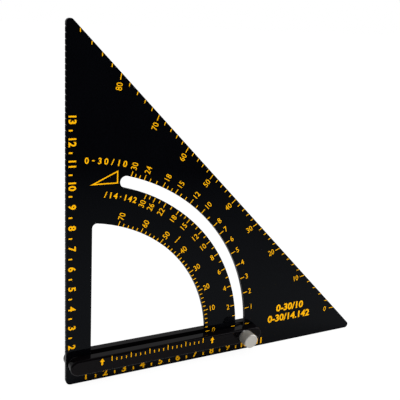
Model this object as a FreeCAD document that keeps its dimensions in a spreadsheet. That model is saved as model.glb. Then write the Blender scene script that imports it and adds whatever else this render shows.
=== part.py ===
import FreeCAD, Part
import math
import os
import Sketcher

# Rafter square with a swinging fence, in millimetres.
# The blade stands on its seat edge: +X along the seat edge, +Z up the plumb edge,
# the printed face towards -Y, and Y = 0 in the middle of the blade's thickness.
# The origin lies on the seat edge, straight under the fence's pivot.

BLADE_SIZES = {
    "leg_length": 175.3,
    "blade_thickness": 2.0,
    "tip_radius": 1.9,
    "heel_radius": 2.5,
    "edge_break": 0.15,
    "pivot_inset": 4.75,
    "pivot_rise": 11.0,
    "window_radius": 70.8,
    "window_stile": 12.45,
    "window_rail": 9.0,
    "window_corner": 2.2,
    "slot_radius": 92.1,
    "slot_width": 5.8,
    "fence_swing": 75.0,
    "notch_first": 17.9,
    "notch_pitch": 2.61,
    "notch_tip_room": 5.5,
    "notch_mouth": 0.56,
    "notch_depth": 0.28,
}
FENCE_SIZES = {
    "bar_height": 8.1,
    "bar_overhang": 6.4,
    "front_bar_round": 1.1,
    "rear_bar_edge": 0.35,
    "front_bar_depth": 4.6,
    "rear_bar_depth": 4.1,
    "front_gap": 1.2,
    "rear_gap": 0.8,
}
PIVOT_SIZES = {
    "pin_diameter": 3.0,
    "pin_seat": 3.0,
    "pin_end_room": 0.2,
    "pin_edge": 0.25,
    "pivot_bushing_diameter": 5.0,
    "pivot_flange_diameter": 7.2,
    "running_clearance": 0.05,
}
LOCK_SIZES = {
    "slot_flange_diameter": 7.6,
    "slot_bushing_recess": 0.2,
    "stud_diameter": 4.0,
    "stud_clearance": 0.15,
    "stud_edge": 0.4,
    "stud_end_recess": 0.3,
    "insert_diameter": 5.6,
    "insert_flange_rim": 0.65,
    "insert_flange_thickness": 0.8,
    "washer_diameter": 7.4,
    "washer_thickness": 0.5,
    "knob_diameter": 7.7,
    "knob_length": 6.1,
    "knob_edge": 0.35,
    "knob_bore_depth": 3.6,
    "knurl_count": 40.0,
    "knurl_depth": 0.18,
    "knurl_share": 0.85,
    "knurl_collar": 0.7,
}

doc = FreeCAD.newDocument("rafter_square")
sheet = doc.addObject("Spreadsheet::Sheet", "sizes")
sheet_row = 0
for group in (BLADE_SIZES, FENCE_SIZES, PIVOT_SIZES, LOCK_SIZES):
    for alias, value in group.items():
        sheet_row += 1
        sheet.set("A%d" % sheet_row, alias)
        sheet.set("B%d" % sheet_row, str(value))
        sheet.setAlias("B%d" % sheet_row, alias)
doc.recompute()

# Planes across the stack, measured along Y from the blade's middle
BLADE_FRONT = "-sizes.blade_thickness / 2"
BLADE_BACK = "sizes.blade_thickness / 2"
FRONT_BAR_BACK = BLADE_FRONT + " - sizes.front_gap"
FRONT_BAR_FACE = FRONT_BAR_BACK + " - sizes.front_bar_depth"
REAR_WASHER_FRONT = BLADE_BACK + " + sizes.running_clearance"
REAR_BAR_FRONT = BLADE_BACK + " + sizes.rear_gap"
REAR_BAR_BACK = REAR_BAR_FRONT + " + sizes.rear_bar_depth"
KNOB_ROOT = FRONT_BAR_FACE + " - sizes.washer_thickness"

# Places along X of the two axes that run through the stack
PIVOT_AXIS = "0"
LOCK_AXIS = "sizes.slot_radius"

# The bore that the lock's stud runs through in the front bar, the slot bushing and the washer
STUD_BORE = "sizes.stud_diameter / 2 + sizes.stud_clearance"

# The far round end of both bars is centred this far along them
BAR_REACH = "sizes.slot_radius + sizes.bar_overhang"

# The insert's flange leaves a rim of the rear bar standing above and below it
INSERT_FLANGE = "sizes.bar_height / 2 - sizes.insert_flange_rim"

# The plumb edge is notched from the first notch up, as far as a whole step stays clear of the tip
NOTCH_STEPS = "floor((sizes.leg_length - sizes.notch_tip_room - sizes.notch_first) / sizes.notch_pitch)"

# How far apart still counts as the same place, and how much of a direction may leave Y
SAME_PLACE = 0.01
SLANT = 0.01


def amount(expression):
    """What an expression of the sheet comes to now, as a plain number."""
    found = sheet.evalExpression(expression)
    return float(getattr(found, "Value", found))


def new_body(name, axis=None, base="0"):
    """A body whose own Y axis runs through the pivot or the lock, or through the origin."""
    body = doc.addObject("PartDesign::Body", name)
    body.Label = name
    if axis is not None:
        body.setExpression(".Placement.Base.x", axis)
        body.setExpression(".Placement.Base.z", "sizes.pivot_rise")
    body.setExpression(".Placement.Base.y", base)
    return body


def new_sketch(body, name, plane, lift=None):
    """A sketch on one of the body's origin planes, or lifted along that plane's normal."""
    sketch = body.newObject("Sketcher::SketchObject", name)
    support = [f for f in body.Origin.OriginFeatures if f.Role == plane][0]
    sketch.AttachmentSupport = [(support, "")]
    sketch.MapMode = "FlatFace"
    if lift is not None:
        sketch.setExpression(".AttachmentOffset.Base.z", lift)
    return sketch


def hold(sketch, kind, *what, name=None, to=None):
    """Add a constraint, and tie its value to the sheet where it has one."""
    if to is None:
        return sketch.addConstraint(Sketcher.Constraint(kind, *what))
    start = amount(to)
    if kind == "Angle":
        start = math.radians(start)
    index = sketch.addConstraint(Sketcher.Constraint(kind, *what, start))
    sketch.renameConstraint(index, name)
    sketch.setExpression("Constraints." + name, to)
    return index


def flat_point(x, y):
    return FreeCAD.Vector(x, y, 0)


def draw_line(sketch, start, end, construction=False):
    return sketch.addGeometry(Part.LineSegment(flat_point(*start), flat_point(*end)), construction)


def draw_circle(sketch, centre, radius):
    whole = Part.Circle(flat_point(*centre), FreeCAD.Vector(0, 0, 1), radius)
    return sketch.addGeometry(whole, False)


def draw_arc(sketch, centre, radius, start_deg, end_deg):
    whole = Part.Circle(flat_point(*centre), FreeCAD.Vector(0, 0, 1), radius)
    piece = Part.ArcOfCircle(whole, math.radians(start_deg), math.radians(end_deg))
    return sketch.addGeometry(piece, False)


def place_point(sketch, geometry, end, name, x, y):
    """Hold a point of the sketch at two expressions of the sheet."""
    for kind, axis, expression in (("DistanceX", -2, x), ("DistanceY", -1, y)):
        if expression == "0":
            hold(sketch, "PointOnObject", geometry, end, axis)
        else:
            hold(sketch, kind, -1, 1, geometry, end, name=name + kind[-1], to=expression)


def draw_polygon(sketch, corners):
    """Straight lines round corners that are given as pairs of expressions."""
    places = [(amount(x), amount(y)) for x, y in corners]
    lines = []
    for i, start in enumerate(places):
        lines.append(draw_line(sketch, start, places[(i + 1) % len(places)]))
    for i, this in enumerate(lines):
        hold(sketch, "Coincident", this, 2, lines[(i + 1) % len(lines)], 1)
        place_point(sketch, this, 1, "corner%d" % i, *corners[i])
    return lines


def draw_hole(sketch, name, x, y, radius):
    """A circle whose centre and radius are expressions."""
    ring = draw_circle(sketch, (amount(x), amount(y)), amount(radius))
    place_point(sketch, ring, 3, name, x, y)
    hold(sketch, "Radius", ring, name=name + "Radius", to=radius)
    return ring


def pad(body, sketch, length, midplane=False, backwards=False):
    """Thicken a sketch; on the XZ plane a pad grows towards -Y unless it runs backwards."""
    feature = body.newObject("PartDesign::Pad", sketch.Name + "_pad")
    feature.Profile = sketch
    feature.setExpression("Length", length)
    feature.Midplane = midplane
    feature.Reversed = backwards
    doc.recompute()
    return feature


def pocket(body, sketch, depth=None, towards_front=False):
    """Cut a sketch out, right through or to a depth towards +Y, or towards -Y."""
    before = body.Shape.Volume
    feature = body.newObject("PartDesign::Pocket", sketch.Name + "_cut")
    feature.Profile = sketch
    if depth is None:
        feature.Type = "ThroughAll"
        feature.Midplane = True
    else:
        feature.setExpression("Length", depth)
        feature.Reversed = towards_front
    doc.recompute()
    if not feature.Shape.Volume < before:
        raise RuntimeError(sketch.Name + " cuts nothing")
    return feature


def turn(body, name, profile):
    """Revolve a profile of (radius, place along Y) pairs round the body's own Y axis."""
    sketch = new_sketch(body, name, "XY_Plane")
    draw_polygon(sketch, profile)
    feature = body.newObject("PartDesign::Revolution", name + "_turned")
    feature.Profile = sketch
    feature.ReferenceAxis = (sketch, ["V_Axis"])
    feature.Angle = 360
    doc.recompute()
    return feature


def dress(body, kind, base, edges, size_name, size):
    """A fillet or a chamfer on named edges of the feature before it."""
    feature = body.newObject("PartDesign::" + kind, body.Name + "_" + kind.lower())
    feature.Base = (base, edges)
    feature.setExpression(size_name, size)
    doc.recompute()
    return feature


def edge_names(feature, wanted):
    return ["Edge%d" % i for i, edge in enumerate(feature.Shape.Edges, start=1) if wanted(edge)]


def corner_edges(feature, places):
    """Names of the edges that run along Y through the given (x, z) corners."""
    def at_corner(edge):
        if len(edge.Vertexes) != 2 or abs(edge.tangentAt(edge.FirstParameter).y) < 1 - SLANT:
            return False
        middle = edge.CenterOfMass
        return any(math.hypot(middle.x - x, middle.z - z) < SAME_PLACE for x, z in places)
    return edge_names(feature, at_corner)


def rim_edges(feature, level):
    """Names of the edges round the flat faces at a level of Y, but not round single holes."""
    rims = []
    for face in feature.Shape.Faces:
        faces_y = abs(face.normalAt(0, 0).y) > 1 - SLANT
        if faces_y and abs(face.CenterOfMass.y - level) < SAME_PLACE:
            for wire in face.Wires:
                if len(wire.Edges) > 1:
                    rims.extend(wire.Edges)
    return edge_names(feature, lambda edge: any(edge.isSame(rim) for rim in rims))


def make_blade():
    """The triangle, with its window, its arc slot, the pivot hole and the plumb edge's notches."""
    body = new_body("blade")
    outline = new_sketch(body, "outline", "XZ_Plane")
    heel_x = "-sizes.pivot_inset"
    draw_polygon(outline, [
        (heel_x, "0"),
        ("sizes.leg_length - sizes.pivot_inset", "0"),
        (heel_x, "sizes.leg_length"),
    ])
    pad(body, outline, "sizes.blade_thickness", midplane=True)

    window = new_sketch(body, "window", "XZ_Plane")
    radius = amount("sizes.window_radius")
    rise = amount("sizes.pivot_rise")
    left = amount("sizes.window_stile - sizes.pivot_inset")
    floor = amount("sizes.window_rail")
    low = math.asin((floor - rise) / radius)
    high = math.acos(left / radius)
    right = radius * math.cos(low)
    top = rise + radius * math.sin(high)
    bow = draw_arc(window, (0, rise), radius, math.degrees(low), math.degrees(high))
    side = draw_line(window, (left, top), (left, floor))
    sill = draw_line(window, (left, floor), (right, floor))
    hold(window, "Coincident", bow, 2, side, 1)
    hold(window, "Coincident", side, 2, sill, 1)
    hold(window, "Coincident", sill, 2, bow, 1)
    hold(window, "Vertical", side)
    hold(window, "Horizontal", sill)
    place_point(window, bow, 3, "bow", "0", "sizes.pivot_rise")
    place_point(window, side, 2, "foot", "sizes.window_stile - sizes.pivot_inset",
                "sizes.window_rail")
    hold(window, "Radius", bow, name="bowRadius", to="sizes.window_radius")
    pocket(body, window)

    slot = new_sketch(body, "slot", "XZ_Plane")
    middle = amount("sizes.slot_radius")
    half = amount("sizes.slot_width / 2")
    swing = amount("sizes.fence_swing")
    far_x = middle * math.cos(math.radians(swing))
    far_z = rise + middle * math.sin(math.radians(swing))
    outer = draw_arc(slot, (0, rise), middle + half, 0, swing)
    inner = draw_arc(slot, (0, rise), middle - half, 0, swing)
    near_end = draw_arc(slot, (middle, rise), half, 180, 360)
    far_end = draw_arc(slot, (far_x, far_z), half, swing, swing + 180)
    spoke = draw_line(slot, (0, rise), (far_x, far_z), construction=True)
    place_point(slot, outer, 3, "slot", "0", "sizes.pivot_rise")
    hold(slot, "Coincident", inner, 3, outer, 3)
    hold(slot, "Coincident", spoke, 1, outer, 3)
    hold(slot, "Coincident", spoke, 2, far_end, 3)
    hold(slot, "Horizontal", outer, 3, near_end, 3)
    hold(slot, "Tangent", outer, 1, near_end, 2)
    hold(slot, "Tangent", inner, 1, near_end, 1)
    hold(slot, "Tangent", outer, 2, far_end, 1)
    hold(slot, "Tangent", inner, 2, far_end, 2)
    hold(slot, "Radius", outer, name="outerRadius", to="sizes.slot_radius + sizes.slot_width / 2")
    hold(slot, "Radius", inner, name="innerRadius", to="sizes.slot_radius - sizes.slot_width / 2")
    hold(slot, "Angle", spoke, name="swing", to="sizes.fence_swing * 1 deg")
    pocket(body, slot)

    pivot_hole = new_sketch(body, "pivot_hole", "XZ_Plane")
    draw_hole(pivot_hole, "pivot", PIVOT_AXIS, "sizes.pivot_rise",
              "sizes.pivot_bushing_diameter / 2 + sizes.running_clearance")
    solid = pocket(body, pivot_hole)

    leg = amount("sizes.leg_length")
    heel = amount(heel_x)
    tips = corner_edges(solid, [(heel + leg, 0), (heel, leg)])
    solid = dress(body, "Fillet", solid, tips, "Radius", "sizes.tip_radius")
    heel_edge = corner_edges(solid, [(heel, 0)])
    solid = dress(body, "Fillet", solid, heel_edge, "Radius", "sizes.heel_radius")
    window_corners = corner_edges(solid, [(left, floor), (right, floor), (left, top)])
    solid = dress(body, "Fillet", solid, window_corners, "Radius", "sizes.window_corner")
    rims = rim_edges(solid, amount(BLADE_FRONT)) + rim_edges(solid, amount(BLADE_BACK))
    dress(body, "Chamfer", solid, rims, "Size", "sizes.edge_break")

    notch = new_sketch(body, "edge_notch", "XZ_Plane")
    draw_polygon(notch, [
        (heel_x + " + sizes.notch_depth", "sizes.notch_first"),
        (heel_x + " - sizes.notch_depth", "sizes.notch_first + sizes.notch_mouth"),
        (heel_x + " - sizes.notch_depth", "sizes.notch_first - sizes.notch_mouth"),
    ])
    cut = pocket(body, notch)
    row = body.newObject("PartDesign::LinearPattern", "edge_notches")
    row.Originals = [cut]
    row.Direction = (notch, ["V_Axis"])
    row.setExpression("Length", "sizes.notch_pitch * " + NOTCH_STEPS)
    row.setExpression("Occurrences", NOTCH_STEPS + " + 1")
    body.Tip = row
    doc.recompute()
    return body


def draw_bar_outline(sketch):
    """A bar with full round ends, the first of them round the pivot."""
    reach = amount(BAR_REACH)
    half = amount("sizes.bar_height / 2")
    pivot_end = draw_arc(sketch, (0, 0), half, 90, 270)
    far_end = draw_arc(sketch, (reach, 0), half, -90, 90)
    bottom = draw_line(sketch, (0, -half), (reach, -half))
    top = draw_line(sketch, (reach, half), (0, half))
    hold(sketch, "Tangent", pivot_end, 2, bottom, 1)
    hold(sketch, "Tangent", bottom, 2, far_end, 1)
    hold(sketch, "Tangent", far_end, 2, top, 1)
    hold(sketch, "Tangent", top, 2, pivot_end, 1)
    hold(sketch, "Equal", pivot_end, far_end)
    place_point(sketch, pivot_end, 3, "pivot", "0", "0")
    place_point(sketch, far_end, 3, "far", BAR_REACH, "0")
    hold(sketch, "Radius", pivot_end, name="roundEnd", to="sizes.bar_height / 2")


def make_front_bar():
    """The bar on the printed side: a blind seat for the pin and a clear hole for the stud."""
    body = new_body("front_fence_bar", PIVOT_AXIS, FRONT_BAR_BACK)
    outline = new_sketch(body, "front_outline", "XZ_Plane")
    draw_bar_outline(outline)
    pad(body, outline, "sizes.front_bar_depth")

    pin_seat = new_sketch(body, "front_pin_seat", "XZ_Plane")
    draw_hole(pin_seat, "pin", "0", "0", "sizes.pin_diameter / 2")
    pocket(body, pin_seat, "sizes.pin_seat + sizes.pin_end_room", towards_front=True)

    stud_hole = new_sketch(body, "front_stud_hole", "XZ_Plane")
    draw_hole(stud_hole, "stud", LOCK_AXIS, "0", STUD_BORE)
    solid = pocket(body, stud_hole)

    solid = dress(body, "Fillet", solid, rim_edges(solid, -amount("sizes.front_bar_depth")),
                  "Radius", "sizes.front_bar_round")
    dress(body, "Chamfer", solid, rim_edges(solid, 0.0), "Size", "sizes.edge_break")
    return body


def make_rear_bar():
    """The bar behind the blade: a blind seat for the pin and a stepped seat for the insert."""
    body = new_body("rear_fence_bar", PIVOT_AXIS, REAR_BAR_FRONT)
    outline = new_sketch(body, "rear_outline", "XZ_Plane")
    draw_bar_outline(outline)
    pad(body, outline, "sizes.rear_bar_depth", backwards=True)

    pin_seat = new_sketch(body, "rear_pin_seat", "XZ_Plane")
    draw_hole(pin_seat, "pin", "0", "0", "sizes.pin_diameter / 2")
    pocket(body, pin_seat, "sizes.pin_seat + sizes.pin_end_room")

    insert_seat = new_sketch(body, "insert_seat", "XZ_Plane")
    draw_hole(insert_seat, "insert", LOCK_AXIS, "0", "sizes.insert_diameter / 2")
    pocket(body, insert_seat)

    flange_seat = new_sketch(body, "insert_flange_seat", "XZ_Plane", lift="-sizes.rear_bar_depth")
    draw_hole(flange_seat, "flange", LOCK_AXIS, "0", INSERT_FLANGE)
    solid = pocket(body, flange_seat, "sizes.insert_flange_thickness", towards_front=True)

    solid = dress(body, "Chamfer", solid, rim_edges(solid, amount("sizes.rear_bar_depth")),
                  "Size", "sizes.rear_bar_edge")
    dress(body, "Chamfer", solid, rim_edges(solid, 0.0), "Size", "sizes.edge_break")
    return body


def make_pivot_pin():
    """A dowel pressed into both bars."""
    body = new_body("pivot_pin", PIVOT_AXIS)
    radius = "sizes.pin_diameter / 2"
    narrow = radius + " - sizes.pin_edge"
    front = FRONT_BAR_BACK + " - sizes.pin_seat"
    back = REAR_BAR_FRONT + " + sizes.pin_seat"
    turn(body, "pin", [
        ("0", front),
        (narrow, front),
        (radius, front + " + sizes.pin_edge"),
        (radius, back + " - sizes.pin_edge"),
        (narrow, back),
        ("0", back),
    ])
    return body


def make_bushing(name, axis, bore, barrel, flange, barrel_end):
    """A bushing whose flange keeps the front bar off the blade and whose barrel fills the hole."""
    body = new_body(name, axis)
    flange_back = BLADE_FRONT + " - sizes.running_clearance"
    turn(body, name + "_profile", [
        (bore, FRONT_BAR_BACK),
        (flange, FRONT_BAR_BACK),
        (flange, flange_back),
        (barrel, flange_back),
        (barrel, barrel_end),
        (bore, barrel_end),
    ])
    return body


def make_thread_insert():
    """A pressed nut in the rear bar, its flange let in flush at the back."""
    body = new_body("thread_insert", LOCK_AXIS, REAR_BAR_FRONT)
    bore = "sizes.stud_diameter / 2 + sizes.running_clearance"
    outside = "sizes.insert_diameter / 2"
    step = "sizes.rear_bar_depth - sizes.insert_flange_thickness"
    turn(body, "insert_profile", [
        (bore, "0"),
        (outside, "0"),
        (outside, step),
        (INSERT_FLANGE, step),
        (INSERT_FLANGE, "sizes.rear_bar_depth"),
        (bore, "sizes.rear_bar_depth"),
    ])
    return body


def make_washer(name, axis, bore, outside, front, back):
    """A flat washer between two planes across the stack."""
    body = new_body(name, axis)
    turn(body, name + "_profile", [
        (bore, front),
        (outside, front),
        (outside, back),
        (bore, back),
    ])
    return body


def make_lock_stud():
    """The threaded stud, pressed into the knob and screwed into the insert."""
    body = new_body("lock_stud", LOCK_AXIS)
    radius = "sizes.stud_diameter / 2"
    narrow = radius + " - sizes.stud_edge"
    front = KNOB_ROOT + " - sizes.knob_bore_depth + sizes.pin_end_room"
    back = REAR_BAR_BACK + " - sizes.stud_end_recess"
    turn(body, "stud_profile", [
        ("0", front),
        (narrow, front),
        (radius, front + " + sizes.stud_edge"),
        (radius, back + " - sizes.stud_edge"),
        (narrow, back),
        ("0", back),
    ])
    return body


def make_lock_knob():
    """The knob: a short cylinder with a straight knurl between two plain collars."""
    body = new_body("lock_knob", LOCK_AXIS, KNOB_ROOT)
    radius = "sizes.knob_diameter / 2"
    narrow = radius + " - sizes.knob_edge"
    turn(body, "knob_profile", [
        ("0", "0"),
        (narrow, "0"),
        (radius, "-sizes.knob_edge"),
        (radius, "-sizes.knob_length + sizes.knob_edge"),
        (narrow, "-sizes.knob_length"),
        ("0", "-sizes.knob_length"),
    ])

    bore = new_sketch(body, "knob_bore", "XZ_Plane")
    draw_hole(bore, "bore", "0", "0", "sizes.stud_diameter / 2")
    pocket(body, bore, "sizes.knob_bore_depth", towards_front=True)

    groove = new_sketch(body, "knurl_groove", "XZ_Plane", lift="sizes.knurl_collar")
    mouth = "sizes.knurl_share * pi * sizes.knob_diameter / sizes.knurl_count"
    draw_polygon(groove, [
        (radius + " - sizes.knurl_depth", "0"),
        (radius + " + sizes.knurl_depth", "-" + mouth),
        (radius + " + sizes.knurl_depth", mouth),
    ])
    cut = pocket(body, groove, "sizes.knob_length - 2 * sizes.knurl_collar", towards_front=True)

    knurl = body.newObject("PartDesign::PolarPattern", "knurl")
    knurl.Originals = [cut]
    knurl.Axis = (groove, ["N_Axis"])
    knurl.Angle = 360
    knurl.setExpression("Occurrences", "sizes.knurl_count")
    body.Tip = knurl
    doc.recompute()
    return body


bodies = [
    make_blade(),
    make_front_bar(),
    make_rear_bar(),
    make_pivot_pin(),
    make_bushing("pivot_bushing", PIVOT_AXIS, "sizes.pin_diameter / 2",
                 "sizes.pivot_bushing_diameter / 2", "sizes.pivot_flange_diameter / 2",
                 REAR_BAR_FRONT),
    make_bushing("slot_bushing", LOCK_AXIS, STUD_BORE,
                 "sizes.slot_width / 2 - sizes.running_clearance",
                 "sizes.slot_flange_diameter / 2", BLADE_BACK + " - sizes.slot_bushing_recess"),
    make_washer("pivot_rear_washer", PIVOT_AXIS,
                "sizes.pivot_bushing_diameter / 2 + sizes.running_clearance",
                "sizes.pivot_flange_diameter / 2", REAR_WASHER_FRONT, REAR_BAR_FRONT),
    make_washer("slot_rear_washer", LOCK_AXIS, STUD_BORE,
                "sizes.slot_flange_diameter / 2", REAR_WASHER_FRONT, REAR_BAR_FRONT),
    make_thread_insert(),
    make_washer("lock_washer", LOCK_AXIS, STUD_BORE, "sizes.washer_diameter / 2", KNOB_ROOT, FRONT_BAR_FACE),
    make_lock_stud(),
    make_lock_knob(),
]
doc.recompute()

for item in doc.Objects:
    if "Invalid" in item.State or "Error" in item.State:
        raise RuntimeError(item.Name + " did not build")
os.makedirs("parts", exist_ok=True)
for body in bodies:
    shape = body.Shape
    if shape.isNull() or not shape.isValid() or len(shape.Solids) != 1:
        raise RuntimeError(body.Label + " is not one sound solid")
    shape.exportStep("parts/%s.step" % body.Label)
    box = shape.BoundBox
    print("%-16s %7.1f x %6.1f x %6.1f mm  %9.1f mm3  %3d faces" % (
        body.Label, box.XLength, box.YLength, box.ZLength, shape.Volume, len(shape.Faces)))
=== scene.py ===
# %% [markdown]
# # A rafter square in Blender
# This lesson dresses the solids of a metric rafter square. It is a black coated triangle with yellow
# scales, a fence of two bars that swings on a pin, and a knurled knob that locks the fence in the arc slot.
# The solids come in as a fixed frame, so every finish and every printed mark is placed from them.

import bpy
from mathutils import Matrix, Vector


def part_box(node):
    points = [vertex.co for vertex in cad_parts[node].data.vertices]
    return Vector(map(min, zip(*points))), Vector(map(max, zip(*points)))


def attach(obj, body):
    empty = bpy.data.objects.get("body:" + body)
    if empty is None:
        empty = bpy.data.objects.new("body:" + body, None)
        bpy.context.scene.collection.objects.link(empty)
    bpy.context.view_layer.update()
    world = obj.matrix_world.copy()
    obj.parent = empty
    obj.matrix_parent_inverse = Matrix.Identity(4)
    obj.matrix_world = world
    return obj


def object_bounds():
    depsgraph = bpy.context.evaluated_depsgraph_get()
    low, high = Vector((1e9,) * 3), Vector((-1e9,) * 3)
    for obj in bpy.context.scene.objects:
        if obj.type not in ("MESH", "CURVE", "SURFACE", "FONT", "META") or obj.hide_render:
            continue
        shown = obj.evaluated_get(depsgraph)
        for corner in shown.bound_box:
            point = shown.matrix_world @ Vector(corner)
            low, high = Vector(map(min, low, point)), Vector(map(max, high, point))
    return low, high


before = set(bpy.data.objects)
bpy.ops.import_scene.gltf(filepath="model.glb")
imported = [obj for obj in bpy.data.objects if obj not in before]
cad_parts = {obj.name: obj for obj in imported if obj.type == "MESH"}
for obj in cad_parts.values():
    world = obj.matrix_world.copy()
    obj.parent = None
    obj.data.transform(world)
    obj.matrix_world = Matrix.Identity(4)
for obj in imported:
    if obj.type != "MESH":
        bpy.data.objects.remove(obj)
cad_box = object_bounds()
print("solids:", ", ".join(sorted(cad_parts)))

# %% [markdown]
# Blender works in metres. The square is as small as a hand, and its marks are parts of a millimetre wide,
# so lengths are written in millimetres times MM, which keeps them readable.

# %% The tools and the unit
import math

import bmesh
import bpy
from mathutils import Matrix, Quaternion, Vector

MM = 0.001
print("the solids fill", [round(v / MM, 1) for v in cad_box[1] - cad_box[0]], "mm")

# %% [markdown]
# ## Measure the part
# The prints sit on three faces: the front and the back of the blade and the front of the fence bar. Their
# places could be typed in, but a typed place goes stale when the part changes, so the faces and the two
# axes are read from the solids.

# %% Read the faces and the axes
def middle(node):
    """The centre of a node's box."""
    low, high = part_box(node)
    return (low + high) / 2


blade_low, blade_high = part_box("blade")
bar_low, bar_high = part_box("front_fence_bar")
pivot = middle("pivot_pin")
lock = middle("lock_stud")
BAR_EDGE = bar_high.z - pivot.z
SLOT_RADIUS = lock.x - pivot.x
print("blade front y %.1f mm, bar edge %.2f mm above the pivot, slot radius %.1f mm" % (
    blade_low.y / MM, BAR_EDGE / MM, SLOT_RADIUS / MM))

# %% [markdown]
# ## Surfaces
# Coat, metal and plastic look different up close, but their detail is of the same few kinds. Each kind
# could be built again in every material. A node group is built once and given its own values in each, so a
# change to the grain shows on every piece that has it.

# %% Helpers for node groups
def new_group(name, inputs, outputs):
    """An empty node group with float or vector sockets, and its two end nodes."""
    group = bpy.data.node_groups.new(name, "ShaderNodeTree")
    for label, kind, value in inputs:
        socket = group.interface.new_socket(label, in_out="INPUT", socket_type="NodeSocket" + kind)
        socket.default_value = value
    for label, kind in outputs:
        group.interface.new_socket(label, in_out="OUTPUT", socket_type="NodeSocket" + kind)
    return group, group.nodes.new("NodeGroupInput"), group.nodes.new("NodeGroupOutput")


def add_math(tree, operation, first, second=0.0):
    """A Math node whose two inputs are sockets or plain numbers."""
    node = tree.nodes.new("ShaderNodeMath")
    node.operation = operation
    for socket, value in zip(node.inputs, (first, second)):
        if isinstance(value, (int, float)):
            socket.default_value = value
        else:
            tree.links.new(value, socket)
    return node.outputs[0]


# %% [markdown]
# The grain is the finest unevenness of a surface: long lines on the drawn bars, a slow ripple in the
# blade's coat, an even matt on the plastic. Three textures could do that, but one noise does too, when its
# coordinates are stretched along the lines. It gives a height for the bump, a roughness and a shade, all
# from the same noise, so that they agree with each other.

# %% The grain group
def make_grain():
    """Noise of a chosen stretch, as a height, a roughness and a shade."""
    group, start, end = new_group("surface_grain", [
        ("Vector", "Vector", (0, 0, 0)), ("Stretch", "Vector", (1, 1, 1)), ("Scale", "Float", 1000),
        ("Roughness", "Float", 0.3), ("Roughness Spread", "Float", 0.1), ("Shade Spread", "Float", 0.1),
    ], [("Height", "Float"), ("Roughness", "Float"), ("Shade", "Float")])
    stretched = group.nodes.new("ShaderNodeVectorMath")
    stretched.operation = "MULTIPLY"
    group.links.new(start.outputs["Vector"], stretched.inputs[0])
    group.links.new(start.outputs["Stretch"], stretched.inputs[1])
    noise = group.nodes.new("ShaderNodeTexNoise")
    noise.inputs["Detail"].default_value = 3
    group.links.new(stretched.outputs[0], noise.inputs["Vector"])
    group.links.new(start.outputs["Scale"], noise.inputs["Scale"])
    swing = add_math(group, "SUBTRACT", noise.outputs[0], 0.5)
    rough = add_math(group, "MULTIPLY", swing, start.outputs["Roughness Spread"])
    shade = add_math(group, "MULTIPLY", swing, start.outputs["Shade Spread"])
    group.links.new(noise.outputs[0], end.inputs["Height"])
    group.links.new(add_math(group, "ADD", rough, start.outputs["Roughness"]), end.inputs["Roughness"])
    group.links.new(add_math(group, "ADD", shade, 1.0), end.inputs["Shade"])
    return group


GRAIN = make_grain()
print("group:", GRAIN.name)

# %% [markdown]
# A lathe tool leaves fine rings on the end of a pin, a knob or a washer. They could be cut into the mesh,
# at the cost of thousands of faces for something that only the light shows. A sine of the distance from the
# piece's axis gives the same rings as a height for the bump. Every turned piece of this tool has its axis
# along Y.

# %% The rings group
def radius_about_y(group, place):
    """How far a place is from the Y axis."""
    flat = group.nodes.new("ShaderNodeVectorMath")
    flat.operation = "MULTIPLY"
    flat.inputs[1].default_value = (1, 0, 1)
    group.links.new(place, flat.inputs[0])
    radius = group.nodes.new("ShaderNodeVectorMath")
    radius.operation = "LENGTH"
    group.links.new(flat.outputs[0], radius.inputs[0])
    return radius.outputs["Value"]


def make_rings():
    """Rings about the Y axis of the coordinates that come in, at a chosen pitch."""
    group, start, end = new_group("turning_rings", [
        ("Vector", "Vector", (0, 0, 0)), ("Pitch", "Float", 0.0002),
    ], [("Height", "Float")])
    radius = radius_about_y(group, start.outputs["Vector"])
    turns = add_math(group, "DIVIDE", radius, start.outputs["Pitch"])
    wave = add_math(group, "SINE", add_math(group, "MULTIPLY", turns, 2 * math.pi))
    group.links.new(wave, end.inputs["Height"])
    return group


RINGS = make_rings()
print("group:", RINGS.name)

# %% [markdown]
# Where one piece slides or turns on another, the coat wears thin and goes grey. On this tool two bands
# about an axis along Y get a grey of their own: a ring of wear round the lock's washer, and the walls of
# the arc slot, where the lighter grey is a painted reflection. A painted mask would need an image. A mask
# worked out from the distance to the axis stays on its edge when the part's sizes change.

# %% The band group, for wear and for a painted reflection
def make_rubbed_band():
    """A mask that is 1 within a band round the Y axis, at a radius, and fades out at its sides."""
    group, start, end = new_group("wear_and_reflection_band", [
        ("Vector", "Vector", (0, 0, 0)), ("Radius", "Float", 0.05), ("Half Width", "Float", 0.001),
        ("Half Depth", "Float", 0.001), ("Fade", "Float", 0.0001),
    ], [("Mask", "Float")])
    radius = radius_about_y(group, start.outputs["Vector"])
    depth = group.nodes.new("ShaderNodeSeparateXYZ")
    group.links.new(start.outputs["Vector"], depth.inputs[0])
    off_radius = add_math(group, "ABSOLUTE", add_math(group, "SUBTRACT", radius, start.outputs["Radius"]))
    off_depth = add_math(group, "ABSOLUTE", depth.outputs["Y"])
    masks = []
    for limit, distance in (("Half Width", off_radius), ("Half Depth", off_depth)):
        inside = add_math(group, "SUBTRACT", start.outputs[limit], distance)
        mask = group.nodes.new("ShaderNodeClamp")
        group.links.new(add_math(group, "DIVIDE", inside, start.outputs["Fade"]), mask.inputs["Value"])
        masks.append(mask.outputs[0])
    group.links.new(add_math(group, "MULTIPLY", masks[0], masks[1]), end.inputs["Mask"])
    return group


WEAR_AND_REFLECTION_BAND = make_rubbed_band()
print("group:", WEAR_AND_REFLECTION_BAND.name)

# %% [markdown]
# A finish is then one call: a colour, a metal or coat, and the grain's own values. Numbers that are the
# same all over the piece are set on the shader itself, and only what changes over the surface comes through
# a group.

# %% A helper for finishes
GRAIN_RELIEF = 0.02 * MM


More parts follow.
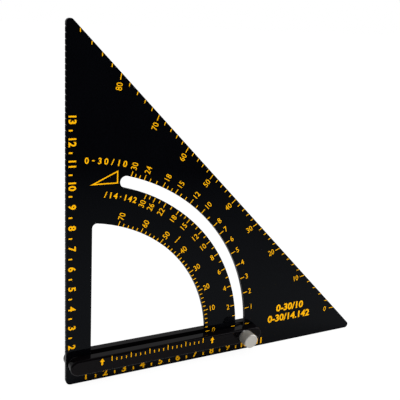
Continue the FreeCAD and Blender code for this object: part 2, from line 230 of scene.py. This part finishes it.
def new_finish(name, colour, roughness, spread, shade, scale, metallic=0, stretch=(1, 1, 1), bump=0.05,
               specular=0.5, tint_of_gloss=(1, 1, 1, 1)):
    """A material whose colour, roughness and bump are broken up by the grain group."""
    material = bpy.data.materials.new(name)
    material.use_nodes = True
    tree = material.node_tree
    shader = tree.nodes["Principled BSDF"]
    shader.inputs["Metallic"].default_value = metallic
    shader.inputs["Specular IOR Level"].default_value = specular
    shader.inputs["Specular Tint"].default_value = tint_of_gloss
    place = tree.nodes.new("ShaderNodeTexCoord")
    grain = tree.nodes.new("ShaderNodeGroup")
    grain.node_tree = GRAIN
    for label, value in (("Stretch", stretch), ("Scale", scale), ("Roughness", roughness),
                         ("Roughness Spread", spread), ("Shade Spread", shade)):
        grain.inputs[label].default_value = value
    tree.links.new(place.outputs["Object"], grain.inputs["Vector"])
    tint = tree.nodes.new("ShaderNodeVectorMath")
    tint.operation = "SCALE"
    tint.inputs[0].default_value = colour
    tree.links.new(grain.outputs["Shade"], tint.inputs["Scale"])
    tree.links.new(tint.outputs[0], shader.inputs["Base Color"])
    tree.links.new(grain.outputs["Roughness"], shader.inputs["Roughness"])
    relief = tree.nodes.new("ShaderNodeBump")
    relief.inputs["Strength"].default_value = bump
    relief.inputs["Distance"].default_value = GRAIN_RELIEF
    tree.links.new(grain.outputs["Height"], relief.inputs["Height"])
    tree.links.new(relief.outputs[0], shader.inputs["Normal"])
    print("finish:", name)
    return material


# %% [markdown]
# Rings, and the bands of wear and of painted reflection, turn about an axis of the tool, but a material's
# coordinates start at the origin. A Mapping node moves them to the axis. Both patterns are laid over a
# finish that is already there, so any finish can have them.

# %% Helpers that lay rings and bands over a finish
RING_PITCH = 0.18 * MM
RING_RELIEF = 0.01 * MM
RING_STRENGTH = 0.12


def centred_group(material, group, centre):
    """A group in a finish that reads its place from a centre, and not from the origin."""
    tree = material.node_tree
    place = next(node for node in tree.nodes if node.type == "TEX_COORD")
    centred = tree.nodes.new("ShaderNodeMapping")
    centred.inputs["Location"].default_value = -centre
    laid = tree.nodes.new("ShaderNodeGroup")
    laid.node_tree = group
    tree.links.new(place.outputs["Object"], centred.inputs["Vector"])
    tree.links.new(centred.outputs[0], laid.inputs["Vector"])
    return laid


def add_rings(material, centre):
    """Adds turning rings about an axis along Y to a finish, over its grain."""
    tree = material.node_tree
    grain_relief = next(node for node in tree.nodes if node.type == "BUMP")
    rings = centred_group(material, RINGS, centre)
    rings.inputs["Pitch"].default_value = RING_PITCH
    relief = tree.nodes.new("ShaderNodeBump")
    relief.inputs["Strength"].default_value = RING_STRENGTH
    relief.inputs["Distance"].default_value = RING_RELIEF
    tree.links.new(rings.outputs["Height"], relief.inputs["Height"])
    tree.links.new(grain_relief.outputs[0], relief.inputs["Normal"])
    tree.links.new(relief.outputs[0], tree.nodes["Principled BSDF"].inputs["Normal"])


def add_rubbed_band(material, centre, radius, half_width, half_depth, fade, band_colour):
    """Lays a colour over a coat in a band about an axis along Y: a worn grey, or a lighter grey that is a
    painted reflection.
    """
    tree = material.node_tree
    colour = tree.nodes["Principled BSDF"].inputs["Base Color"]
    band = centred_group(material, WEAR_AND_REFLECTION_BAND, centre)
    for label, value in (("Radius", radius), ("Half Width", half_width), ("Half Depth", half_depth),
                         ("Fade", fade)):
        band.inputs[label].default_value = value
    mix = tree.nodes.new("ShaderNodeMix")
    mix.data_type = "RGBA"
    mix.inputs["B"].default_value = band_colour
    tree.links.new(band.outputs["Mask"], mix.inputs["Factor"])
    tree.links.new(colour.links[0].from_socket, mix.inputs["A"])
    tree.links.new(mix.outputs["Result"], colour)


# %% [markdown]
# ## The coats and the plastic
# The blade has a smooth black coat that mirrors the table faintly. The bars are drawn aluminium with a coat
# of their own, so their grain is stretched along them. Such coats could be given Blender's usual specular
# level, but the ones in the photo mirror far less, so the level is low, and a faint tint of the gloss makes
# the blade cool and the bars warm. The bushings and the rear washers are moulded plastic, matt and a little
# uneven.

# %% Make the coats and the plastic
blade_coat = new_finish(
    "black_gloss_coat", (0.0010, 0.0011, 0.0017), roughness=0.06, spread=0.04, shade=0.5, scale=60,
    bump=0.0, specular=0.078, tint_of_gloss=(0.84, 0.92, 1, 1))
bar_coat = new_finish(
    "black_drawn_coat", (0.0014, 0.0011, 0.0014), roughness=0.08, spread=0.03, shade=0.4, scale=900,
    stretch=(0.02, 1, 1), bump=0.02, specular=0.078, tint_of_gloss=(1, 0.95, 1, 1))
bushing_plastic = new_finish(
    "black_moulded_plastic", (0.008, 0.008, 0.009), roughness=0.45, spread=0.1, shade=0.3, scale=3000,
    bump=0.1, specular=0.1)

# %% [markdown]
# ## The turned metals
# The pin and the stud are plain steel, the washer is brighter, and the nut in the rear bar is brass. The
# knob is plated and its knurl scatters the light, so its plate is the roughest of them. One metal could
# serve them all, but steel, brass and plate differ in colour and polish, so each has its own values over
# the same grain and the same rings.

# %% Make the metals
pin_steel = new_finish(
    "turned_steel", (0.45, 0.45, 0.46), roughness=0.3, spread=0.1, shade=0.15, scale=2500,
    metallic=1)
knob_plate = new_finish(
    "satin_nickel_plate", (0.63, 0.61, 0.57), roughness=0.55, spread=0.06, shade=0.06, scale=9000,
    metallic=1)
washer_steel = new_finish(
    "bright_washer_steel", (0.66, 0.66, 0.66), roughness=0.28, spread=0.1, shade=0.1, scale=2500,
    metallic=1)
insert_brass = new_finish(
    "turned_brass", (0.72, 0.55, 0.26), roughness=0.3, spread=0.1, shade=0.12, scale=2500,
    metallic=1)
for turned, axis in ((pin_steel, pivot), (knob_plate, lock), (washer_steel, lock), (insert_brass, lock)):
    add_rings(turned, axis)

# %% [markdown]
# ## A painted reflection and a worn ring
# The slot's walls are a little lighter than the coat. That lighter grey is a painted reflection, not wear.
# The band there is wider than the slot but stops short of the blade's two faces, so that only the walls
# change. The washer turns on the front bar, so a faint ring of wear is laid at its rim.

# %% Paint a reflection on the slot's walls and wear a ring under the washer
# The slot walls' lighter grey is a painted reflection. The washer ring's grey is wear.
SLOT_WALL_PAINTED_REFLECTION = (0.035, 0.032, 0.034, 1)
WASHER_RING_GREY = (0.02, 0.02, 0.02, 1)
blade_middle = Vector((pivot.x, (blade_low.y + blade_high.y) / 2, pivot.z))
# Painted reflection: the slot's walls get a lighter grey than the coat.
add_rubbed_band(blade_coat, blade_middle, SLOT_RADIUS, half_width=3.3 * MM, half_depth=0.85 * MM,
                fade=0.1 * MM, band_colour=SLOT_WALL_PAINTED_REFLECTION)
washer_low, washer_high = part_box("lock_washer")
washer_radius = (washer_high.x - washer_low.x) / 2
bar_face = Vector((lock.x, bar_low.y, lock.z))
add_rubbed_band(bar_coat, bar_face, washer_radius, half_width=0.4 * MM, half_depth=0.1 * MM, fade=0.3 * MM,
                band_colour=WASHER_RING_GREY)
print("washer ring at radius %.2f mm" % (washer_radius / MM))

# %% [markdown]
# ## Dress the solids
# Every solid of the frame already has its true shape, so none is replaced. Each only gets its finish, in
# place of the plain one that it came with.

# %% Give each solid its finish
FINISHES = {
    "blade": blade_coat,
    "front_fence_bar": bar_coat,
    "rear_fence_bar": bar_coat,
    "pivot_pin": pin_steel,
    "pivot_bushing": bushing_plastic,
    "slot_bushing": bushing_plastic,
    "pivot_rear_washer": bushing_plastic,
    "slot_rear_washer": bushing_plastic,
    "thread_insert": insert_brass,
    "lock_washer": washer_steel,
    "lock_stud": pin_steel,
    "lock_knob": knob_plate,
}
for node, finish in FINISHES.items():
    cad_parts[node].data.materials.clear()
    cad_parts[node].data.materials.append(finish)
print(len(FINISHES), "solids dressed")

# %% [markdown]
# ## The yellow print
# The real scales are a thin film of ink on the coat. An image would need a file, and a pattern of nodes
# can't hold numerals, so each mark is a very thin solid that stands just proud of the face and is sunk a
# little into it.

# %% The ink and the depth of the three printed faces
ink = new_finish(
    "yellow_ink", (1.0, 0.48, 0.001), roughness=0.6, spread=0.1, shade=0.08, scale=1500,
    bump=0.1, specular=0.03)
INK_DEPTH = 0.04 * MM
INK_SUNK = 0.01 * MM
BLADE_PRINT = blade_low.y + INK_SUNK - INK_DEPTH / 2
BAR_PRINT = bar_low.y + INK_SUNK - INK_DEPTH / 2
BACK_PRINT = blade_high.y - INK_SUNK + INK_DEPTH / 2
print("the ink stands %.2f mm proud" % ((INK_DEPTH - INK_SUNK) / MM))

# %% [markdown]
# A mark is made flat, reading along X, and then stood on a face. The back of the blade is read from behind,
# so a mirror would turn its numerals round. Half a turn about the mark's own upright keeps them readable,
# and one scale can then be printed on both sides by the same lines.

# %% Places on the faces
def face_place(x, z, angle=0.0, y=BLADE_PRINT):
    """Stands a flat mark on a front face at (x, z), reading along an angle from the seat edge."""
    along = Vector((math.cos(angle), 0, math.sin(angle)))
    up = Vector((-math.sin(angle), 0, math.cos(angle)))
    turn = Matrix((along, up, Vector((0, -1, 0)))).transposed().to_4x4()
    return Matrix.Translation((x, y, z)) @ turn


def in_front(place):
    """A place as it is, on the front."""
    return place


def behind(place):
    """The same place on the blade's back, turned so that it reads from behind."""
    turned = place @ Matrix.Rotation(math.pi, 4, "Y")
    turned.translation.y = BACK_PRINT
    return turned


BOTH_SIDES = (("", in_front), ("back_", behind))
print("front and back print are %.2f mm apart" % ((BACK_PRINT - BLADE_PRINT) / MM))

# %% [markdown]
# Blender's text object gives the numerals. Its own size is the line height, so one numeral is measured
# first, and every other is scaled to a true cap height and squeezed to the narrow figures of the scales.

# %% Numerals
NUMERAL_HEIGHT = 3.0 * MM
NUMERAL_SQUEEZE = 0.86
PLAIN_WEIGHT = 0.0
HEAVY_WEIGHT = 0.03


def text_solid(text, weight):
    """A text as a closed solid of unit line height, facing +Z and centred on the origin."""
    curve = bpy.data.curves.new("figures", "FONT")
    curve.body = text
    curve.align_x = "CENTER"
    curve.extrude = 0.5
    curve.offset = weight
    curve.resolution_u = 3
    holder = bpy.data.objects.new("figures", curve)
    mesh = bpy.data.meshes.new_from_object(holder)
    bpy.data.objects.remove(holder)
    low = min(v.co.y for v in mesh.vertices)
    high = max(v.co.y for v in mesh.vertices)
    mesh.transform(Matrix.Translation((0, -(low + high) / 2, 0)))
    return mesh, high - low


FIGURE_SIZE = text_solid("0", PLAIN_WEIGHT)[1]
print("a figure is %.3f of the line height" % FIGURE_SIZE)


def add_text(print_mesh, place, text, height=NUMERAL_HEIGHT, squeeze=NUMERAL_SQUEEZE, weight=PLAIN_WEIGHT):
    """Adds a text, centred at a place."""
    mesh, _ = text_solid(text, weight)
    size = height / FIGURE_SIZE
    mesh.transform(place @ Matrix.Diagonal((size * squeeze, size, INK_DEPTH, 1)))
    print_mesh.from_mesh(mesh)
    bpy.data.meshes.remove(mesh)


# %% [markdown]
# A graduation is a straight bar of ink. All marks of one scale go into one bmesh and become one piece,
# because hundreds of loose objects would be slow to handle and the scale is one print on the real tool too.

# %% Marks and finished prints
MARK_WIDTH = 0.38 * MM
MERGE_DISTANCE = 0.001 * MM


def add_mark(print_mesh, place, length, width=MARK_WIDTH, start=0.0, side=in_front):
    """Adds a straight mark that runs along the reading direction, from its place or a start beyond it."""
    centre = side(place @ Matrix.Translation((start + length / 2, 0, 0)))
    bar = Matrix.Diagonal((length, width, INK_DEPTH, 1))
    bmesh.ops.create_cube(print_mesh, size=1, matrix=centre @ bar)


def finish_print(print_mesh, name, body):
    """Closes the marks' seams and hands them to the scene as one piece that rides on a body."""
    bmesh.ops.remove_doubles(print_mesh, verts=print_mesh.verts, dist=MERGE_DISTANCE)
    bmesh.ops.recalc_face_normals(print_mesh, faces=print_mesh.faces)
    mesh = bpy.data.meshes.new(name)
    print_mesh.to_mesh(mesh)
    print_mesh.free()
    piece = bpy.data.objects.new(name, mesh)
    bpy.context.scene.collection.objects.link(piece)
    mesh.materials.append(ink)
    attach(piece, body)
    print("print:", name, len(mesh.polygons), "faces")


# %% [markdown]
# ## The angle scales
# A rafter square is read along the top edge of its fence. That edge doesn't pass through the pivot: it
# stays half a bar height above it. So each mark lies on the line that the edge takes at its angle, and the
# same function serves all four scales.

# %% Where the fence's edge comes to lie
def edge_place(angle, reach):
    """A place on the fence's edge, set to an angle, at a distance along the edge."""
    x = pivot.x + reach * math.cos(angle) - BAR_EDGE * math.sin(angle)
    z = pivot.z + reach * math.sin(angle) + BAR_EDGE * math.cos(angle)
    return face_place(x, z, angle)


def on_arc(angle, radius):
    """The place where the fence's edge, set to an angle, crosses an arc about the pivot."""
    return edge_place(angle, math.sqrt(radius ** 2 - BAR_EDGE ** 2))


crossing = on_arc(0, SLOT_RADIUS).translation
print("at 0 degrees the edge crosses the slot at x %.1f, z %.1f mm" % (crossing.x / MM, crossing.z / MM))

# %% [markdown]
# The inner scale runs round the window: a mark at every second degree, a longer one with a numeral at every
# tenth, and a separate long mark at 45. The marks could be turned copies of one mark about the pivot, but
# the edge that reads them doesn't pass through the pivot, so each is placed on that edge.

# %% The degree scale round the window
WINDOW_MARKS = 70.95 * MM
WINDOW_LABELS = 75.7 * MM
WINDOW_LENGTHS = {True: 2.35 * MM, False: 1.45 * MM}
for prefix, side in BOTH_SIDES:
    degree_print = bmesh.new()
    for degrees in range(0, 71, 2):
        angle = math.radians(degrees)
        tenth = degrees % 10 == 0
        add_mark(degree_print, on_arc(angle, WINDOW_MARKS), WINDOW_LENGTHS[tenth], side=side)
        if tenth:
            add_text(degree_print, side(on_arc(angle, WINDOW_LABELS)), str(degrees))
    half_right = on_arc(math.radians(45), WINDOW_MARKS)
    add_mark(degree_print, half_right, 4.1 * MM, start=4.45 * MM, side=side)
    finish_print(degree_print, prefix + "window_degree_scale", "square")

# %% [markdown]
# The two scales beside the slot give a roof's slope as a rise over a run. The outer one is for common
# rafters, over a run of 10. The inner one is for hip rafters, which cross the building's corner, so its run
# is 10 times the square root of 2. The marks could be copied from the photo one by one, but each is simply
# the angle whose tangent is the rise over the run. Steep slopes lie close together, so fewer of them have a
# numeral.

# %% The two slope scales beside the slot
HIP_RUN = 10 * math.sqrt(2)
COMMON_RUN = 10


def add_slope_scale(name, run, labelled, plain, arc, outward, lengths, label_radii):
    """Prints marks for rises over one run, on one side of the slot."""
    slope_print = bmesh.new()
    for rise in sorted(labelled + plain):
        angle = math.atan(rise / run)
        length = lengths[0] if rise in labelled else lengths[1]
        add_mark(slope_print, on_arc(angle, arc), length, start=0.0 if outward else -length)
        if rise in labelled and rise > 0:
            add_text(slope_print, on_arc(angle, label_radii[len(str(rise)) - 1]), str(rise))
    finish_print(slope_print, name, "square")


add_slope_scale(
    "hip_slope_scale", HIP_RUN,
    labelled=[30, 26, 22, 18, 15, 12, 10, 8, 6, 4, 2, 0],
    plain=[28, 24, 20, 17, 16, 14, 13, 11, 9, 7, 5, 3, 1],
    arc=SLOT_RADIUS - 3.25 * MM, outward=False, lengths=(2.3 * MM, 1.5 * MM),
    label_radii=(SLOT_RADIUS - 7.0 * MM, SLOT_RADIUS - 8.0 * MM))
add_slope_scale(
    "common_slope_scale", COMMON_RUN,
    labelled=[30, 24, 18, 15, 12, 10, 8, 7, 6, 5, 4, 3, 2, 1, 0],
    plain=[28, 26, 22, 20, 17, 16, 14, 13, 11, 9],
    arc=SLOT_RADIUS + 3.05 * MM, outward=True, lengths=(2.5 * MM, 1.6 * MM),
    label_radii=(SLOT_RADIUS + 7.1 * MM, SLOT_RADIUS + 8.1 * MM))

# %% [markdown]
# The outer degree scale runs along the slanted edge. There the fence's edge meets a straight line and not
# an arc, so its reach changes with the angle. The slanted edge is where x + z has one value, and that gives
# the reach in closed form. The numerals stand further in towards the two ends, where the marks slant more
# to the edge.

# %% The degree scale on the long edge
LONG_MARGIN = 0.3 * MM
LONG_LENGTHS = {True: 2.8 * MM, False: 1.6 * MM}
LABEL_INSET = 5.3 * MM
LABEL_INSET_AT_ENDS = 1.6 * MM
long_edge = max(v.co.x + v.co.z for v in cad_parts["blade"].data.vertices)
slanted = long_edge - LONG_MARGIN * math.sqrt(2) - pivot.x - pivot.z
for prefix, side in BOTH_SIDES:
    long_print = bmesh.new()
    for degrees in range(0, 89, 2):
        angle = math.radians(degrees)
        cosine, sine = math.cos(angle), math.sin(angle)
        reach = (slanted - BAR_EDGE * (cosine - sine)) / (cosine + sine)
        tenth = degrees % 10 == 0
        length = LONG_LENGTHS[tenth]
        add_mark(long_print, edge_place(angle, reach), length, start=-length, side=side)
        if tenth:
            inset = LABEL_INSET + LABEL_INSET_AT_ENDS * math.sin(angle - math.pi / 4) ** 2
            add_text(long_print, side(edge_place(angle, reach - inset)), str(degrees))
    finish_print(long_print, prefix + "long_edge_degree_scale", "square")

# %% [markdown]
# ## Plain rules and keys
# The two short edges carry plain rules. They are numbered in centimetres from the square corner, with a
# short mark at each half that starts at the edge's side, so that it can't be taken for a numeral. Each rule
# could be one long text, but then the figures would sit where the typeface puts them and not at their
# centimetre.

# %% The rule along the plumb edge
RULE_HEIGHT = 3.3 * MM
HALF_MARK = 1.7 * MM
HALF_MARK_WIDTH = 0.7 * MM
CENTIMETRE = 10 * MM
PLUMB_BAND = -1.9 * MM
FIRST_ABOVE_FENCE = 2
for prefix, side in BOTH_SIDES:
    plumb_print = bmesh.new()
    for number in range(FIRST_ABOVE_FENCE, 14):
        height = number * CENTIMETRE
        figures = side(face_place(PLUMB_BAND, height, -math.pi / 2))
        add_text(plumb_print, figures, str(number), RULE_HEIGHT, squeeze=1.0, weight=HEAVY_WEIGHT)
        if number > FIRST_ABOVE_FENCE:
            foot = face_place(PLUMB_BAND - RULE_HEIGHT / 2, height - CENTIMETRE / 2)
            add_mark(plumb_print, foot, HALF_MARK, HALF_MARK_WIDTH, side=side)
    finish_print(plumb_print, prefix + "plumb_edge_rule", "square")

# %% The rule along the seat edge
SEAT_BAND = 3.0 * MM
SEAT_NUMBERS = range(1, 12)
for prefix, side in BOTH_SIDES:
    seat_print = bmesh.new()
    for number in SEAT_NUMBERS:
        along = blade_low.x + number * CENTIMETRE
        figures = side(face_place(along, SEAT_BAND))
        add_text(seat_print, figures, str(number), RULE_HEIGHT, squeeze=1.1, weight=HEAVY_WEIGHT)
        if number < SEAT_NUMBERS[-1]:
            foot = face_place(along + CENTIMETRE / 2, SEAT_BAND - RULE_HEIGHT / 2, math.pi / 2)
            add_mark(seat_print, foot, HALF_MARK, HALF_MARK_WIDTH, side=side)
    finish_print(seat_print, prefix + "seat_edge_rule", "square")

# %% [markdown]
# At its upper end each slope scale says what it counts: rises from 0 to 30 over its run. The figures follow
# the slot's arc. A text on a curve would bend the figures themselves, so they are set one by one, each
# upright on its own radius.

# %% The runs beside the slope scales
RUN_WEIGHT = 0.02


def add_curved_text(print_mesh, text, radius, middle_angle, height, pitch):
    """Sets figures one by one along an arc about the pivot, reading clockwise."""
    for number, figure in enumerate(text):
        angle = middle_angle - (number - (len(text) - 1) / 2) * pitch / radius
        x = pivot.x + radius * math.cos(angle)
        z = pivot.z + radius * math.sin(angle)
        place = face_place(x, z, angle - math.pi / 2)
        add_text(print_mesh, place, figure, height, squeeze=1.0, weight=RUN_WEIGHT)


run_print = bmesh.new()
add_curved_text(run_print, "0-30/10", 100.3 * MM, math.radians(82.0), height=2.8 * MM, pitch=3.1 * MM)
add_curved_text(run_print, "/14.142", 84.8 * MM, math.radians(75.5), height=2.7 * MM, pitch=2.5 * MM)
finish_print(run_print, "scale_runs", "square")

# %% [markdown]
# Between the two runs is a small diagram of a slope, a right-angled triangle with its rise and its run.
# Three bars would overlap at the corners. One triangle, inset and with its middle taken out, gives an even
# line all round. A face made from corners has no normal yet, and the inset needs one, so the normal is
# worked out first.

# %% A small diagram of a slope
DIAGRAM_CORNERS = ((6.4, 99.6), (19.8, 99.6), (19.8, 105.8))
DIAGRAM_LINE = 0.55 * MM


def is_vertex(item):
    """Whether an item of a bmesh is a vertex."""
    return isinstance(item, bmesh.types.BMVert)


diagram_print = bmesh.new()
diagram_foot = BLADE_PRINT + INK_DEPTH / 2
corners = [diagram_print.verts.new(face_place(x * MM, z * MM, y=diagram_foot).translation)
           for x, z in DIAGRAM_CORNERS]
slope = diagram_print.faces.new(corners)
slope.normal_update()
rim = bmesh.ops.inset_individual(
    diagram_print, faces=[slope], thickness=DIAGRAM_LINE, use_even_offset=True)["faces"]
bmesh.ops.delete(diagram_print, geom=[slope], context="FACES_ONLY")
raised = bmesh.ops.extrude_face_region(diagram_print, geom=rim)["geom"]
bmesh.ops.translate(diagram_print, verts=list(filter(is_vertex, raised)), vec=(0, -INK_DEPTH, 0))
finish_print(diagram_print, "slope_diagram", "square")

# %% [markdown]
# In the wide corner stands a plain key of the two slope scales, one line for each: the rises that it counts
# over its run.

# %% The slope key
KEY_MIDDLE = 124.0 * MM
KEY_LINES = ((20.9 * MM, "0-30/10"), (14.9 * MM, "0-30/14.142"))
key_print = bmesh.new()
for height, line in KEY_LINES:
    add_text(key_print, face_place(KEY_MIDDLE, height), line, 3.9 * MM, squeeze=1.05, weight=HEAVY_WEIGHT)
finish_print(key_print, "slope_key", "square")

# %% [markdown]
# ## The print on the fence
# Two arrows on the front bar point up to the edge that reads the scales, and a row of plain marks stands
# between them. An arrow could be a triangle and a bar, but those two would cross, so it is one outline that
# is extruded by the ink's depth. This print rides on the fence, so it swings with it.

# %% The arrows and the row of marks on the fence
ARROW_FEET = (11.5 * MM, 72.0 * MM)
ARROW_HEIGHT = 3.5 * MM
ARROW_WIDTH = 2.4 * MM
ARROW_SHAFT = 0.9 * MM
ARROW_NECK = ARROW_HEIGHT - ARROW_WIDTH * 0.75
ROW_START = 16.5 * MM
ROW_PITCH = 2.5 * MM
ROW_RISE = 1.0 * MM
ROW_MARKS = 21
ROW_LENGTHS = {True: 2.6 * MM, False: 1.5 * MM}
ARROW_OUTLINE = (
    (-ARROW_SHAFT / 2, 0), (ARROW_SHAFT / 2, 0), (ARROW_SHAFT / 2, ARROW_NECK),
    (ARROW_WIDTH / 2, ARROW_NECK), (0, ARROW_HEIGHT), (-ARROW_WIDTH / 2, ARROW_NECK),
    (-ARROW_SHAFT / 2, ARROW_NECK))


def add_arrow(print_mesh, place):
    """Adds an arrow that points up from its foot, as a closed film of ink."""
    outline = [print_mesh.verts.new(place @ Vector((x, y, -INK_DEPTH / 2))) for x, y in ARROW_OUTLINE]
    raised = bmesh.ops.extrude_face_region(print_mesh, geom=[print_mesh.faces.new(outline)])["geom"]
    bmesh.ops.translate(print_mesh, verts=list(filter(is_vertex, raised)), vec=(0, -INK_DEPTH, 0))


fence_print = bmesh.new()
for x in ARROW_FEET:
    add_arrow(fence_print, face_place(x, pivot.z - 0.2 * MM, y=BAR_PRINT))
for number in range(ROW_MARKS):
    place = face_place(ROW_START + number * ROW_PITCH, pivot.z + ROW_RISE, math.pi / 2, BAR_PRINT)
    add_mark(fence_print, place, ROW_LENGTHS[number % 4 == 0], width=0.36 * MM)
finish_print(fence_print, "fence_arrows", "fence")

# %% [markdown]
# ## Floor, light and camera
# The photo was taken on a white sweep: paper under the tool that turns up behind it, and a dark room in
# front. The black coat is a mirror, so what it looks at matters more than the lamps. The paper in front of
# the tool lights its lower part, and higher up the coat sees past the paper's end and goes darker. The
# floor itself is one flat sheet at the height of the seat edge.

# %% The floor
FLOOR_SIZE = 4.0
sheet = bmesh.new()
bmesh.ops.create_grid(sheet, x_segments=1, y_segments=1, size=FLOOR_SIZE)
floor_mesh = bpy.data.meshes.new("paper_floor")
sheet.to_mesh(floor_mesh)
sheet.free()
floor = bpy.data.objects.new("paper_floor", floor_mesh)
floor.location.z = cad_box[0].z
bpy.context.scene.collection.objects.link(floor)
print("floor at z = %.4f m" % floor.location.z)

# %% [markdown]
# The paper has to do three things. To the camera it is white with a faint shadow, so camera rays get mostly
# a plain glow. It lights the tool as matt white paper does. In the coat's mirror it has to end, so for
# glossy rays its brightness falls off with the distance from the tool. A smaller sheet would do that too,
# but its edge would show.

# %% Helpers for the paper and the world
def add_ramp(tree, value, start, full, dim, bright):
    """A Map Range node that goes from dim at start to bright at full."""
    ramp = tree.nodes.new("ShaderNodeMapRange")
    for label, number in (("From Min", start), ("From Max", full), ("To Min", dim), ("To Max", bright)):
        ramp.inputs[label].default_value = number
    tree.links.new(value, ramp.inputs["Value"])
    return ramp.outputs[0]


def emptied_tree(owner):
    """The node tree of a material or world, with nothing in it."""
    owner.use_nodes = True
    owner.node_tree.nodes.clear()
    return owner.node_tree


# %% The paper
PAPER_WHITE = 0.8
PAPER_FAR_END = 0.04
BRIGHT_REACH = 0.45
CAMERA_GLOW = 1.06
CAMERA_GLOW_SHARE = 0.88
paper = bpy.data.materials.new("white_paper")
floor_mesh.materials.append(paper)
tree = emptied_tree(paper)
rays = tree.nodes.new("ShaderNodeLightPath")
place = tree.nodes.new("ShaderNodeTexCoord")
distance = tree.nodes.new("ShaderNodeVectorMath")
distance.operation = "LENGTH"
tree.links.new(place.outputs["Object"], distance.inputs[0])
faded = add_ramp(tree, distance.outputs["Value"], 0.0, BRIGHT_REACH, PAPER_WHITE, PAPER_FAR_END)
glossy = rays.outputs["Is Glossy Ray"]
mirrored = add_math(tree, "MULTIPLY", glossy, faded)
plain = add_math(tree, "MULTIPLY", add_math(tree, "SUBTRACT", 1.0, glossy), PAPER_WHITE)
lit = tree.nodes.new("ShaderNodeBsdfDiffuse")
tree.links.new(add_math(tree, "ADD", mirrored, plain), lit.inputs["Color"])
glow = tree.nodes.new("ShaderNodeEmission")
glow.inputs["Strength"].default_value = CAMERA_GLOW
mixed = tree.nodes.new("ShaderNodeMixShader")
glow_share = add_math(tree, "MULTIPLY", rays.outputs["Is Camera Ray"], CAMERA_GLOW_SHARE)
tree.links.new(glow_share, mixed.inputs[0])
tree.links.new(lit.outputs[0], mixed.inputs[1])
tree.links.new(glow.outputs[0], mixed.inputs[2])
output = tree.nodes.new("ShaderNodeOutputMaterial")
tree.links.new(mixed.outputs[0], output.inputs["Surface"])
print("paper bright to", BRIGHT_REACH, "m")

# %% [markdown]
# The world is white to the camera. To the tool it is a dark room with a pale sweep behind and a bright
# ceiling. Area lamps could stand for both, but they would show in the coat as hard shapes, where two soft
# ramps over the direction don't. The ceiling is kept out of the coat's mirror, because the coat in the
# photo shows none.

# %% The world
TOP_GLOW = 1.9
SWEEP_GLOW = 0.55
ROOM_GLOW = 0.05
world = bpy.data.worlds.new("studio")
bpy.context.scene.world = world
tree = emptied_tree(world)
rays = tree.nodes.new("ShaderNodeLightPath")
direction = tree.nodes.new("ShaderNodeTexCoord")
parts = tree.nodes.new("ShaderNodeSeparateXYZ")
tree.links.new(direction.outputs["Generated"], parts.inputs[0])
sweep = add_ramp(tree, parts.outputs["Y"], -0.25, 0.15, ROOM_GLOW, SWEEP_GLOW)
top = add_ramp(tree, parts.outputs["Z"], 0.3, 0.9, 0.0, TOP_GLOW)
unmirrored = add_math(tree, "SUBTRACT", 1.0, rays.outputs["Is Glossy Ray"])
room = add_math(tree, "MAXIMUM", sweep, add_math(tree, "MULTIPLY", top, unmirrored))
seen = add_math(tree, "MAXIMUM", rays.outputs["Is Camera Ray"], rays.outputs["Is Transmission Ray"])
background = tree.nodes.new("ShaderNodeBackground")
background.inputs["Color"].default_value = (1, 1, 1, 1)
tree.links.new(add_math(tree, "MAXIMUM", room, seen), background.inputs["Strength"])
output = tree.nodes.new("ShaderNodeOutputWorld")
tree.links.new(background.outputs[0], output.inputs["Surface"])
print("top", TOP_GLOW, "sweep", SWEEP_GLOW)

# %% [markdown]
# One soft box stands at the right, in front of the tool. The world alone would light the knob evenly all
# round, and the box makes its face brighter than its left side. It is large, because a small lamp would put
# a hard spot on the metal.

# %% The soft box
KEY_PLACE = Vector((1.0, -0.65, 0.55))
KEY_SIZE = 1.0
KEY_POWER = 8.5
key_lamp = bpy.data.lights.new("key_soft_box", "AREA")
key_lamp.size = KEY_SIZE
key_lamp.energy = KEY_POWER
key_box = bpy.data.objects.new("key_soft_box", key_lamp)
key_box.location = KEY_PLACE
key_box.rotation_mode = "QUATERNION"
key_box.rotation_quaternion = ((cad_box[0] + cad_box[1]) / 2 - KEY_PLACE).to_track_quat("-Z", "Y")
bpy.context.scene.collection.objects.link(key_box)
print("lamp:", key_box.name, KEY_POWER, "W")

# %% [markdown]
# The camera stands low on the left and looks down a little. Its place, aim and lens were fitted to the
# part's outline and marks in the photo, and the small roll is the photo's own.

# %% The camera
CAMERA_PLACE = Vector((-92.05, -289.1, 182.23)) * MM
CAMERA_AIM = Vector((61.73, -3.7, 88.78)) * MM
CAMERA_ROLL = math.radians(3.255)
CAMERA_LENS = 62.07
CAMERA_SHIFT = (-0.0004, 0.0004)
camera = bpy.data.objects.new("camera", bpy.data.cameras.new("camera"))
camera.data.sensor_width = 36
camera.data.lens = CAMERA_LENS
camera.data.clip_start = 0.01
camera.data.shift_x, camera.data.shift_y = CAMERA_SHIFT
camera.location = CAMERA_PLACE
camera.rotation_mode = "QUATERNION"
aim = (CAMERA_AIM - CAMERA_PLACE).to_track_quat("-Z", "Y")
camera.rotation_quaternion = aim @ Quaternion((0, 0, 1), CAMERA_ROLL)
bpy.context.scene.collection.objects.link(camera)
bpy.context.scene.camera = camera
bpy.context.scene.view_settings.view_transform = "Standard"
print("camera", [round(v, 3) for v in camera.location], "lens", camera.data.lens)
